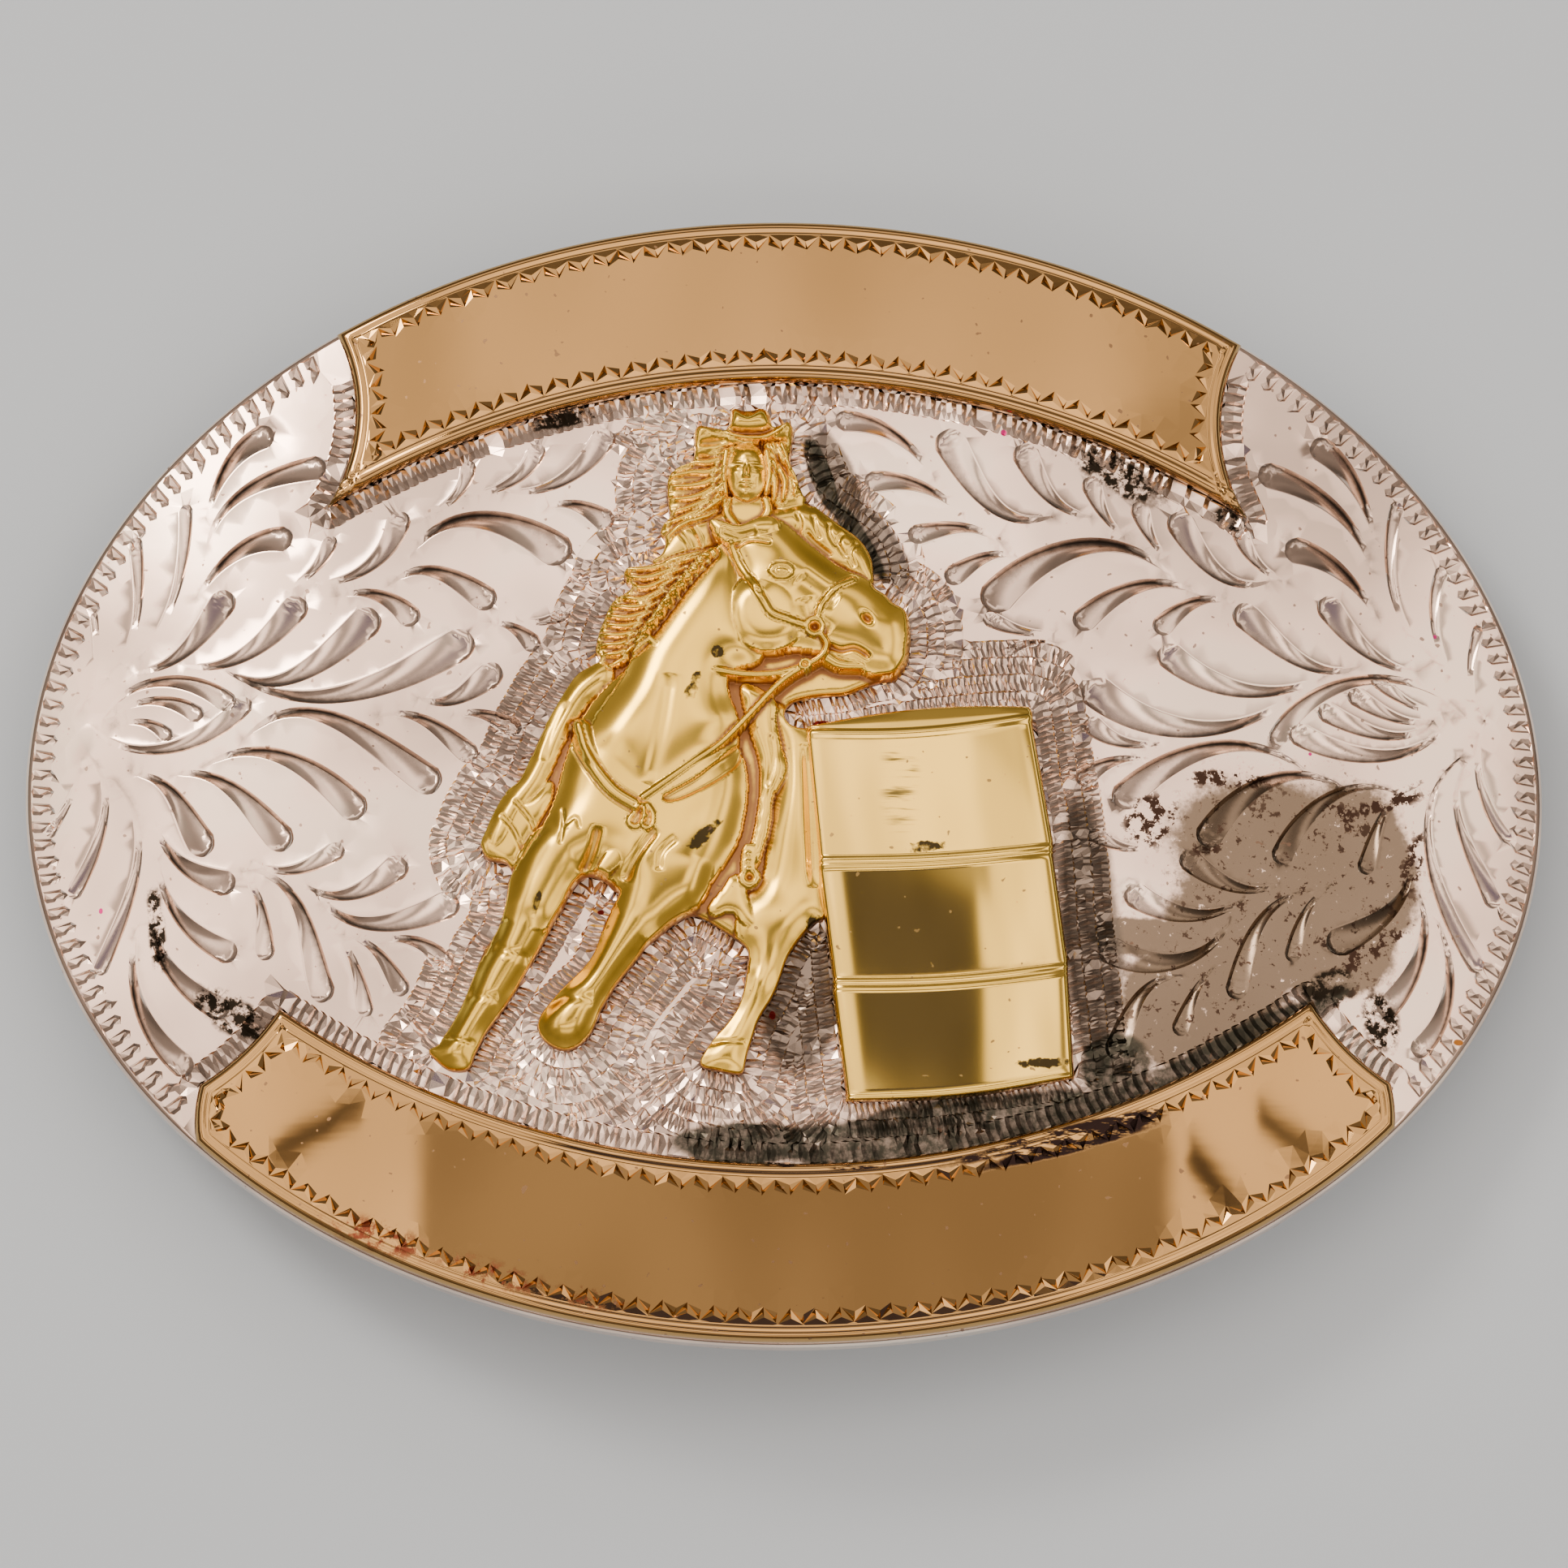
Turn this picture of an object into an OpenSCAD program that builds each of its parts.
// Western trophy buckle: a domed oval plate, two band overlays, a stamped
// barrel racing figure, and a belt loop and a hook on the back.
// It lies face up. +X runs to the right of the face, +Y to its top, and Z = 0
// is the surface that the loop and the hook rest on. Millimetres.

/* [Plate] */
// Width of the oval plate
plate_w = 101.6; // [92:0.1:112]
// Height of the oval plate
plate_h = 76.2; // [70:0.1:84]
// Thickness of the plate
plate_t = 1.8; // [1.4:0.1:2.4]
// Radius of the bend along the plate's width
bend_r = 172; // [150:1:220]
// Radius of the dome across the plate's height
dome_r = 480; // [400:10:700]

/* [Band overlays] */
// Thickness of the band overlays
band_t = 1; // [0.8:0.05:1.4]
// How far the bands stay inside the plate's edge
band_inset = 0.2; // [0.1:0.05:0.6]
// Height of the top band at its middle
top_band_h = 11.4; // [9:0.1:13]
// Radius of the top band's inner edge
top_band_r = 60.4; // [54:0.1:70]
// Half width of the top band at its waisted ends
top_band_half_w = 29; // [26:0.1:32]
// Radius of the hollow in each end of the top band
top_end_r = 12.5; // [11:0.1:15]
// Height of the bottom band at its middle
bottom_band_h = 11.9; // [10:0.1:13.5]
// Radius of the bottom band's inner edge
bottom_band_r = 58; // [54:0.1:66]
// Half width of the bottom band at its round ends
bottom_band_half_w = 38.7; // [37:0.1:40]
// Radius of the round ends of the bottom band
bottom_end_r = 9; // [8:0.1:10]
// Radius of the hollow beside each tip of the bottom band
bottom_tip_r = 16; // [14:0.1:20]
// How much further out the right end of the bottom band lies than the left one
bottom_right_out = 2; // [0:0.1:2.4]
// How much higher the right end of the bottom band lies than the left one
bottom_right_up = 1.1; // [0:0.1:1.4]

/* [Figure] */
// Room between the hat and the top band
hat_gap = 2.1; // [1.5:0.1:4]
// Room between the barrel and the bottom band
barrel_gap = 4.2; // [3:0.1:6]
// Height of the relief at its fullest
relief_h = 2.8; // [2:0.1:3.6]
// Clearance between the soldered pieces
solder_gap = 0.08; // [0.05:0.01:0.2]

/* [Back hardware] */
// Diameter of the belt loop's wire
wire_d = 3; // [2.6:0.1:3.6]
// Widest belt strap that passes the loop
strap_w = 39; // [36:0.5:42]
// Free height over the loop's bar for the strap
strap_gap = 5.2; // [4.8:0.1:7]
// Distance from the plate's end to the loop's bar
bar_inset = 15; // [13:0.1:18]
// Length of the loop's arms
arm_l = 9.5; // [9:0.1:13]
// Radius of the wire's bends at its centre line
wire_bend_r = 4; // [3:0.1:5]
// Diameter of the hook's peg
hook_d = 3.2; // [2.8:0.1:4]
// Distance from the plate's end to the hook's foot
hook_inset = 20.5; // [18:0.1:24]
// Lean of the hook away from the middle, in degrees
hook_lean = 25; // [15:1:32]
// Diameter of the feet that are soldered to the plate
foot_d = 7; // [6.5:0.1:8]
// Thickness of the feet
foot_t = 1; // [0.8:0.1:1.4]

/* [Hidden] */
$fn = 96;

wire_r = wire_d / 2;
hook_r = hook_d / 2;
bar_x = plate_w / 2 - bar_inset;
foot_x = bar_x - arm_l;
arm_y = strap_w / 2 + wire_r;
hook_x = plate_w / 2 - hook_inset;

// Depth of the dome's surface below its crown
function drop(x, y) = bend_r - sqrt(pow(sqrt(pow(dome_r, 2) - y * y) - (dome_r - bend_r), 2) - x * x);
// Thickness of the plate, measured straight down, where it slopes
function down_t(x) = plate_t / cos(asin(x / bend_r));

crown_z = wire_d + strap_gap + down_t(bar_x) + drop(bar_x, arm_y);
function dome_z(x, y) = crown_z - drop(x, y);

// The dome is made a little past the plate's edge, and deeper than the plate's bend
dome_half_w = 0.62 * plate_w;
dome_half_l = 0.7 * plate_h;
dome_depth = 40;
above_all = 2 * crown_z;

// Solid under the dome, raised or sunk by lift
module dome(lift) {
  half_sweep = asin(dome_half_w / bend_r);
  translate([0, 0, crown_z - bend_r]) rotate([90, 0, 0]) rotate([0, 0, 90 - half_sweep])
    rotate_extrude(angle = 2 * half_sweep, $fn = 256) intersection() {
      translate([bend_r - dome_r, 0]) circle(r = dome_r + lift, $fn = 256);
      translate([bend_r - dome_depth, -dome_half_l]) square([2 * dome_depth, 2 * dome_half_l]);
    }
}

module dome_skin(low, high) {
  difference() {
    dome(high);
    dome(low);
  }
}

module oval(inset = 0) {
  scale([plate_w - 2 * inset, plate_h - 2 * inset]) circle(d = 1);
}

module plate() {
  color("silver") intersection() {
    linear_extrude(height = above_all) oval();
    dome_skin(-plate_t, 0);
  }
}

// Inner edges and ends of the two bands, from the plate's edge inwards
top_end_drop = 13.5;
top_inner_y = plate_h / 2 - top_band_h;
top_end_x = top_band_half_w + top_end_r;
top_end_y = plate_h / 2 - top_end_drop;
bottom_end_rise = 3.2;
bottom_inner_y = bottom_band_h - plate_h / 2;
bottom_end_x = bottom_band_half_w - bottom_end_r;
bottom_end_y = bottom_inner_y + bottom_end_rise;
// The hollow beside a tip lies outwards and upwards from the round end's centre
tip_cut_out = 16.8;
tip_cut_up = 16.1;
// Centres of the round ends and of the hollows, left and right
bottom_ends = [[-bottom_end_x, bottom_end_y], [bottom_end_x + bottom_right_out, bottom_end_y + bottom_right_up]];
tip_cuts = [bottom_ends[0] + [-tip_cut_out, tip_cut_up], bottom_ends[1] + [tip_cut_out, tip_cut_up]];

module top_band_outline() {
  difference() {
    intersection() {
      oval(band_inset);
      translate([-top_end_x, 0]) square([2 * top_end_x, plate_h]);
    }
    translate([0, top_inner_y - top_band_r]) circle(r = top_band_r);
    for (side = [-1, 1]) translate([side * top_end_x, top_end_y]) circle(r = top_end_r);
    for (side = [-1, 1]) translate([side * top_end_x, 0]) square([top_end_r, plate_h], center = true);
  }
}

module top_banner() {
  color("peru") intersection() {
    linear_extrude(height = above_all) top_band_outline();
    dome_skin(solder_gap, solder_gap + band_t);
  }
}

module bottom_band_outline() {
  intersection() {
    difference() {
      oval(band_inset);
      translate([0, bottom_inner_y + bottom_band_r]) circle(r = bottom_band_r);
      for (centre = tip_cuts) translate(centre) circle(r = bottom_tip_r);
    }
    union() {
      translate([-bottom_end_x, -plate_h]) square([2 * bottom_end_x + bottom_right_out, plate_h]);
      for (centre = bottom_ends) translate(centre) circle(r = bottom_end_r);
    }
  }
}

module bottom_banner() {
  color("peru") intersection() {
    linear_extrude(height = above_all) bottom_band_outline();
    dome_skin(solder_gap, solder_gap + band_t);
  }
}

// The figure is drawn in parts: these are the places of the barrel's foot and the hat's top
DRAWN = [-22.1, 24.6];
part = (top_inner_y - hat_gap - (bottom_inner_y + barrel_gap)) / (DRAWN[1] - DRAWN[0]);
figure_y = bottom_inner_y + barrel_gap - DRAWN[0] * part;

// Each row is one rounded form between two ends.
// x, y and w are the place and half width of an end in parts,
// and h its height as a share of relief_h:
// x0, y0, w0, h0, x1, y1, w1, h1
HORSE = [
  [-2.8, 14.4, 2.1, 0.8, -0.6, 12.6, 2.9, 0.98],
  [-1.2, 10.8, 3.0, 0.96, -0.4, 12.4, 3.0, 1],
  [-0.2, 12.2, 2.9, 1, 4.8, 10.1, 2.4, 0.96],
  [4.6, 9.4, 2.6, 0.94, 5.8, 8.7, 2.4, 0.88],
  [0.2, 8.8, 2.1, 0.76, 5.2, 7, 1.4, 0.7],
  [-4.5, 16, 0.5, 0.64, -2.4, 15.7, 0.9, 0.86],
  [-1.8, 15.2, 1.5, 0.84, 0.4, 14, 1.8, 0.94],
  [-4.6, 11.6, 3.6, 0.78, -8.2, 3.2, 5.6, 0.86],
  [-3, 8.4, 3, 0.66, -4.8, 2, 3, 0.76],
  [-8.4, 2, 5.4, 0.88, -7.8, -3.8, 5.2, 0.92],
  [-11.8, 0.4, 2.7, 0.74, -13.4, -4.4, 2.4, 0.68],
  [-6.8, -3.8, 4.2, 0.84, -5.6, -5.8, 3, 0.74],
  [-14.4, -4.4, 2.3, 0.66, -16.6, -9.6, 1.8, 0.52],
  [-16.6, -9.6, 1.8, 0.52, -18.5, -13.4, 1.5, 0.46],
  [-18.5, -13.4, 1.5, 0.46, -20.9, -18.2, 1.2, 0.42],
  [-22.4, -18.9, 0.7, 0.36, -21, -19.3, 0.8, 0.42],
  [-8.6, -7.2, 2.6, 0.72, -11, -11.4, 1.5, 0.54],
  [-11, -11.4, 1.5, 0.54, -12.4, -13.8, 1.2, 0.46],
  [-12.4, -13.8, 1.2, 0.46, -14.1, -16.9, 1.8, 0.52],
  [-1, 2.4, 1.9, 0.36, -0.6, -8, 2.6, 0.44],
  [0.4, -2.4, 1.5, 0.44, -0.2, -9.4, 1.9, 0.5],
  [-3.6, -7.8, 1.9, 0.42, -0.8, -10, 1.4, 0.44],
  [-0.2, -10, 1.8, 0.48, -1.2, -13, 1.2, 0.42],
  [-1.2, -13, 1.2, 0.42, -2.6, -16.6, 0.8, 0.38],
  [-2.6, -16.6, 0.8, 0.38, -4, -19.2, 1.1, 0.44],
  [-4.4, -19.3, 0.7, 0.4, -3, -19.5, 0.7, 0.44],
  [0.8, 1.6, 1.4, 0.3, 1.4, -8, 1.3, 0.34]
];
MANE = [
  [-5.6, 12.6, 1.6, 0.56, -9.8, 9.6, 1.9, 0.34],
  [-5.2, 14, 0.6, 0.7, -10.1, 13.2, 0.6, 0.42],
  [-6.2, 12.6, 0.8, 0.74, -10.9, 10.9, 0.8, 0.42],
  [-7.2, 11, 0.9, 0.72, -11.7, 9, 0.7, 0.4],
  [-8.4, 9.6, 0.9, 0.7, -11.3, 7.6, 0.9, 0.4]
];
RIDER = [
  [-4.2, 16.2, 2.4, 0.52, -2.2, 16.8, 2, 0.58],
  [-0.5, 17.2, 1.6, 0.6, 3, 15.2, 1.6, 0.62],
  [3, 15.2, 1.6, 0.62, 4.4, 13.5, 1.4, 0.6],
  [-5.8, 16, 1.8, 0.5, -7.9, 14.6, 0.8, 0.42],
  [-2.7, 18, 1.1, 0.6, -2.7, 16.8, 1.2, 0.58],
  [-2.8, 19.7, 1.3, 0.76, -2.8, 20.9, 1.5, 0.78],
  [-4.2, 20.7, 0.9, 0.62, -7, 19.5, 0.8, 0.46],
  [-4.6, 19.6, 1.1, 0.58, -6.9, 18, 1, 0.44],
  [-4.8, 18.2, 1, 0.52, -7.4, 16.4, 0.9, 0.42],
  [-0.7, 21, 0.8, 0.62, -0.2, 18.8, 1.1, 0.52],
  [-3.6, 20, 2, 0.54, -5.8, 17.8, 2, 0.36],
  [-3.1, 23.5, 1, 0.76, -2, 23.5, 1, 0.76],
  [-2.6, 22.4, 1.1, 0.8, -5.5, 22.5, 0.8, 0.64],
  [-4.4, 22.2, 0.7, 0.6, -5.7, 21.7, 0.6, 0.54],
  [-2.6, 22.4, 1.1, 0.8, -0.2, 23, 0.6, 0.66],
  [-0.8, 22.6, 0.6, 0.6, -0.2, 21.9, 0.4, 0.54],
  [-11.4, 5.6, 1.5, 0.5, -14.6, 2, 1.4, 0.52],
  [-14.6, 2, 1.4, 0.52, -16.3, -0.8, 1.1, 0.48],
  [-16.3, -0.8, 1.1, 0.48, -18.9, -4.8, 0.9, 0.44],
  [-16.6, -2, 1, 0.46, -17.8, -5.2, 0.9, 0.42],
  [-13.2, 2.6, 1.2, 0.4, -15.8, -4, 1.2, 0.36],
  [-0.8, 4.4, 1, 0.5, -0.3, -0.6, 0.8, 0.54],
  [-0.3, -0.6, 0.8, 0.54, -2, -7.2, 0.8, 0.52],
  [-4.4, -9.2, 0.6, 0.48, -1.6, -10.9, 0.4, 0.44]
];
// Straps, as round cords from end to end
STRAPS = [
  [-9.2, 8.7, 0.3, 0.84, -6.4, 6.9, 0.3, 0.94],
  [-6.4, 6.9, 0.3, 0.94, -3, 6.1, 0.3, 0.9],
  [-3, 6.1, 0.3, 0.9, 1.4, 6.5, 0.35, 0.86],
  [0, 6, 0.3, 0.84, -6.2, -0.1, 0.3, 0.98],
  [-6.2, -0.1, 0.3, 0.98, -9, -2, 0.3, 1],
  [-8.8, -2, 0.35, 1, -9.8, -4.1, 0.35, 1],
  [-13.6, 2, 0.3, 0.72, -12.2, -0.6, 0.35, 0.8],
  [-12.2, -0.6, 0.35, 0.8, -10, -3.6, 0.4, 0.98],
  [-3.6, 14.8, 0.3, 0.86, -2, 11.6, 0.35, 1.06],
  [-2, 11.6, 0.35, 1.06, 1.5, 9.4, 0.35, 1.04],
  [1.7, 9.4, 0.5, 1.06, 3.6, 12, 0.3, 1.06]
];

// Rows of the barrel from its back rim down to its foot, in parts:
// left x, left y, right x, right y, sag of the row at its middle
BARREL = [
  [1.3, 2.9, 16.3, 4.6, -0.4],
  [1.6, 2.2, 16.5, 3.6, 0.6],
  [2.4, -6.4, 17.8, -5.1, 0.5],
  [3.3, -14.4, 18.8, -12.9, 0.6],
  [4.3, -22, 19.3, -20.1, 0.6]
];
// Heights as shares of the relief: the barrel's sides and its middle, how far its lid and foot
// turn down, and its hoops; hoop_w is their half width in parts
barrel_edge = 0.4;
barrel_full = 0.82;
barrel_round = 0.7;
lid_back_drop = 0.24;
lid_front_drop = 0.1;
foot_drop = 0.06;
hoop_h = 0.14;
hoop_w = 0.45;
barrel_columns = 12;
form_sides = 14;
mane_sides = 10;
form_spread = 0.2;
strap_sides = 8;
strap_swell = 1.3;

// Place of a point of the figure that stands up by h shares of the relief
function on_figure(x, y, h) =
  let (fx = x * part, fy = figure_y + y * part)
  [fx, fy, dome_z(fx, fy) + solder_gap + h * relief_h];

module bead(x, y, w, h, sides) {
  p = on_figure(x, y, 0);
  spread = (w + form_spread) * part;
  translate(p) scale([spread, spread, h * relief_h]) sphere(r = 1, $fn = sides);
}

module form(row, sides) {
  hull() {
    bead(row[0], row[1], row[2], row[3], sides);
    bead(row[4], row[5], row[6], row[7], sides);
  }
}

// A strap's cord lies on top of the form below it
module cord(row) {
  hull() for (end = [0, 4]) {
    p = on_figure(row[end], row[end + 1], row[end + 3]);
    translate(p - [0, 0, row[end + 2]]) sphere(r = row[end + 2] * strap_swell, $fn = strap_sides);
  }
}

// Steps across the barrel's rows: row, offset down the barrel in parts, extra height
BARREL_STEPS = concat(
  [[0, 0, -lid_back_drop], [0, -hoop_w / 3, -lid_front_drop]],
  [for (row = [1 : 3]) each [[row, hoop_w, 0], [row, hoop_w / 2, hoop_h], [row, -hoop_w / 2, hoop_h],
    [row, -hoop_w, 0]]],
  [[4, hoop_w, 0], [4, 0, -foot_drop]]
);

function barrel_point(step, column) =
  let (
    row = BARREL[step[0]],
    t = column / barrel_columns,
    x = row[0] + (row[2] - row[0]) * t,
    y = row[1] + (row[3] - row[1]) * t - row[4] * sin(180 * t) + step[1],
    h = barrel_edge + (barrel_full - barrel_edge) * pow(sin(180 * t), barrel_round) + step[2]
  ) on_figure(x, y, h);

function floored(p) = [p[0], p[1], dome_z(p[0], p[1]) - plate_t];

module barrel() {
  steps = len(BARREL_STEPS);
  across = barrel_columns + 1;
  top = [for (step = BARREL_STEPS) for (c = [0 : barrel_columns]) barrel_point(step, c)];
  count = len(top);
  base = [for (p = top) floored(p)];
  lid = [for (r = [0 : steps - 2]) for (c = [0 : barrel_columns - 1])
    let (a = r * across + c) each [[a, a + 1, a + across], [a + 1, a + across + 1, a + across]]];
  ground = [for (f = lid) [f[2] + count, f[1] + count, f[0] + count]];
  edge = concat(
    [for (c = [0 : barrel_columns]) c],
    [for (r = [1 : steps - 1]) r * across + barrel_columns],
    [for (c = [1 : barrel_columns]) (steps - 1) * across + barrel_columns - c],
    [for (r = [1 : steps - 2]) (steps - 1 - r) * across]
  );
  n = len(edge);
  walls = [for (i = [0 : n - 1]) let (a = edge[i], b = edge[(i + 1) % n])
    each [[a, a + count, b], [b, a + count, b + count]]];
  polyhedron(concat(top, base), concat(lid, ground, walls), convexity = 6);
}

// The plate's dome in flat facets, to cut the figure's underside
cut_step = 4.5;
cut_half = 28;
module faceted_dome() {
  n = ceil(cut_half / cut_step);
  side = 2 * n + 1;
  grid = [for (j = [-n : n]) for (i = [-n : n])
    [i * cut_step, j * cut_step, dome_z(i * cut_step, j * cut_step) + solder_gap]];
  count = len(grid);
  low = [for (p = grid) [p[0], p[1], crown_z - dome_depth]];
  lid = [for (j = [0 : side - 2]) for (i = [0 : side - 2])
    let (a = j * side + i) each [[a, a + side, a + 1], [a + 1, a + side, a + side + 1]]];
  ground = [for (f = lid) [f[2] + count, f[1] + count, f[0] + count]];
  edge = concat(
    [for (i = [0 : side - 1]) i],
    [for (j = [1 : side - 1]) j * side + side - 1],
    [for (i = [1 : side - 1]) side * side - 1 - i],
    [for (j = [1 : side - 2]) (side - 1 - j) * side]
  );
  m = len(edge);
  walls = [for (i = [0 : m - 1]) let (a = edge[i], b = edge[(i + 1) % m])
    each [[a, b, a + count], [b, b + count, a + count]]];
  polyhedron(concat(grid, low), concat(lid, ground, walls), convexity = 2);
}

module barrel_racer() {
  color("goldenrod") difference() {
    union() {
      for (row = concat(HORSE, RIDER)) form(row, form_sides);
      for (row = MANE) form(row, mane_sides);
      for (row = STRAPS) cord(row);
      barrel();
    }
    faceted_dome();
  }
}

// Solid from the plate's back down to nothing, to trim what is soldered there
module below_plate() {
  dome(-plate_t - solder_gap);
}

// Round foot on the plate's back at a place, square to the plate
module foot(x, y) {
  back_z = dome_z(x, y) - down_t(x);
  translate([x, y, back_z]) rotate([0, asin(x / bend_r), 0]) translate([0, 0, -foot_t])
    cylinder(d = foot_d, h = 2 * foot_t);
}

module elbow() {
  rotate_extrude(angle = 90) translate([wire_bend_r, 0]) circle(r = wire_r);
}

// One half of the loop, from its foot on the plate's back to the middle of the bar
module loop_half() {
  low = wire_r;
  turn = low + wire_bend_r;
  // Post and foot
  intersection() {
    union() {
      translate([foot_x, arm_y, turn]) cylinder(r = wire_r, h = crown_z);
      foot(foot_x, arm_y);
    }
    below_plate();
  }
  // Bend from the post to the arm
  translate([foot_x + wire_bend_r, arm_y, turn]) rotate([90, 0, 0]) rotate([0, 0, 180]) elbow();
  // Arm
  translate([foot_x + wire_bend_r, arm_y, low]) rotate([0, 90, 0])
    cylinder(r = wire_r, h = arm_l - 2 * wire_bend_r);
  // Bend from the arm to the bar
  translate([bar_x - wire_bend_r, arm_y - wire_bend_r, low]) elbow();
  // Half of the bar
  translate([bar_x, 0, low]) rotate([-90, 0, 0]) cylinder(r = wire_r, h = arm_y - wire_bend_r);
}

module belt_loop() {
  color("darkgray") union() {
    loop_half();
    mirror([0, 1, 0]) loop_half();
  }
}

// Peg with a round end, its foot trimmed to the plate's back
hook_top_z = dome_z(hook_x, 0) - down_t(hook_x);
hook_l = (hook_top_z - hook_r) / cos(hook_lean);

module belt_hook() {
  color("darkgray") intersection() {
    union() {
      foot(-hook_x, 0);
      translate([-hook_x - hook_l * sin(hook_lean), 0, hook_r]) rotate([0, hook_lean, 0])
        rotate_extrude() {
          square([hook_r, hook_l + 2 * foot_t]);
          intersection() {
            circle(r = hook_r);
            translate([0, -hook_r]) square([hook_r, hook_r]);
          }
        }
    }
    below_plate();
  }
}

plate();
top_banner();
bottom_banner();
barrel_racer();
belt_loop();
belt_hook();
